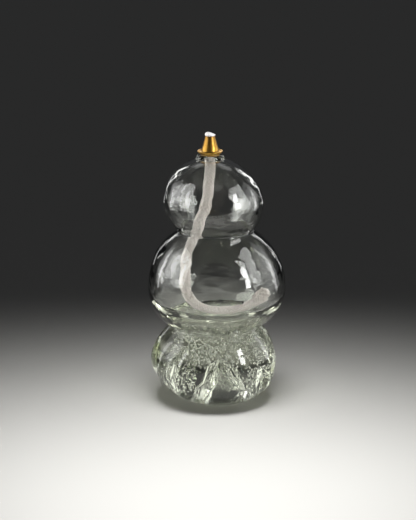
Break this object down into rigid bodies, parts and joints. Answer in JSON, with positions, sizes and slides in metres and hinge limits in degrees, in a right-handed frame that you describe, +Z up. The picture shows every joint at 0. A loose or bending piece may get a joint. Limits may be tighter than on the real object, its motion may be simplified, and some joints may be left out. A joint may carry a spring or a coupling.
{
  "type": "oil lamp",
  "caption": "Blown-glass oil lamp: stacked hollow bulbs with a rolled lip on a solid bubbled glass base, a brass cone wick holder dropped in the mouth and a braided cotton wick inside.",
  "frame": {"origin": "centre of the overall box at the foot's flat underside, which is the axis of the large bulb at z = 0", "axes": "+Z up, along the lamp's height; the glass leans along X, with the mouth on the -X side; -Y faces the viewer, the side where the wick lies"},
  "size_m": [0.0893, 0.0892, 0.1785],
  "materials": {
    "clear_glass": "hand-blown clear soda-lime glass, fire-polished, faintly green in thick sections",
    "brass": "turned and polished, lightly lacquered",
    "cotton": "undyed braided cotton"
  },
  "bodies": {
    "glass": {"glass_base": "clear_glass", "glass_bowl": "clear_glass", "glass_crown": "clear_glass", "glass_mouth": "clear_glass"},
    "holder": {"drip_dish": "brass", "wick_cone": "brass"},
    "wick": {"wick": "cotton"}
  },
  "joints": [
    {"name": "holder_lift", "type": "slide", "parent": "glass", "child": "holder", "axis": [0, 0, 1], "range_m": [0, 0.007]},
    {"name": "wick_feed", "type": "slide", "parent": "holder", "child": "wick", "axis": [0, 0, 1], "range_m": [0, 0.004]}
  ]
}
